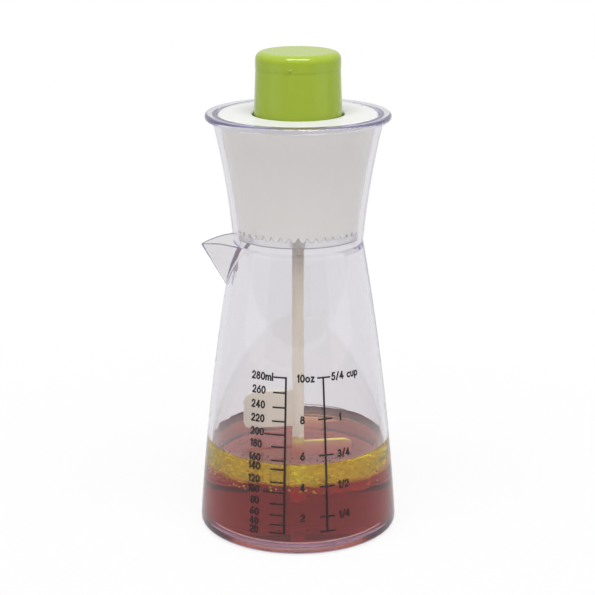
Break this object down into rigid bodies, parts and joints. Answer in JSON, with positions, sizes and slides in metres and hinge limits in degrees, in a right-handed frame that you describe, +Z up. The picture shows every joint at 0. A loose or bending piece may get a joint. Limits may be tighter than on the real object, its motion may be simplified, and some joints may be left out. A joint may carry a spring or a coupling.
{
  "type": "salad dressing mixer bottle",
  "caption": "Clear flared carafe with a pouring spout and a drop-in lid; pressing the lid's button spins a stirring shaft with paddles through a twisted rod.",
  "frame": {"origin": "centre of the foot, on the surface that the bottle stands on", "axes": "+Z up along the bottle's axis, spout towards -X, volume scale side towards -Y"},
  "size_m": [0.0836, 0.0836, 0.2017],
  "materials": {
    "clear_plastic": "clear, polished",
    "clear_silicone": "clear, soft",
    "white_plastic": "satin",
    "green_plastic": "glossy",
    "cream_plastic": "satin",
    "drive_plastic": "satin",
    "spring_steel": "bright drawn wire"
  },
  "bodies": {
    "bottle": {"carafe": "clear_plastic", "base_plate": "clear_plastic"},
    "lid": {"lid_cup": "white_plastic", "lid_cover": "white_plastic", "lid_seal": "clear_silicone", "shaft_bush": "drive_plastic", "shaft_seal": "clear_silicone", "return_spring": "spring_steel"},
    "plunger": {"button": "green_plastic", "nut_carrier": "drive_plastic", "drive_nut": "drive_plastic", "spring_washer": "spring_steel"},
    "stirrer": {"spiral_rod": "drive_plastic", "thrust_washer": "drive_plastic", "retaining_clip": "spring_steel", "agitator": "cream_plastic"}
  },
  "joints": [
    {"name": "lid_lift", "type": "slide", "parent": "bottle", "child": "lid", "axis": [0, 0, 1], "range_m": [0, 0.17]},
    {"name": "button_press", "type": "slide", "parent": "lid", "child": "plunger", "axis": [0, 0, -1], "range_m": [0, 0.02], "stiffness_N_per_m": 250, "springref_m": -0.012, "deforming": ["return_spring"]},
    {"name": "agitator_spin", "type": "hinge", "parent": "lid", "child": "stirrer", "pos_m": [0, 0, 0.135], "axis": [0, 0, 1], "range_deg": [0, 289]}
  ],
  "couplings": [
    {"joint": "agitator_spin", "follows": "button_press", "rad_per_m": 251.33}
  ]
}
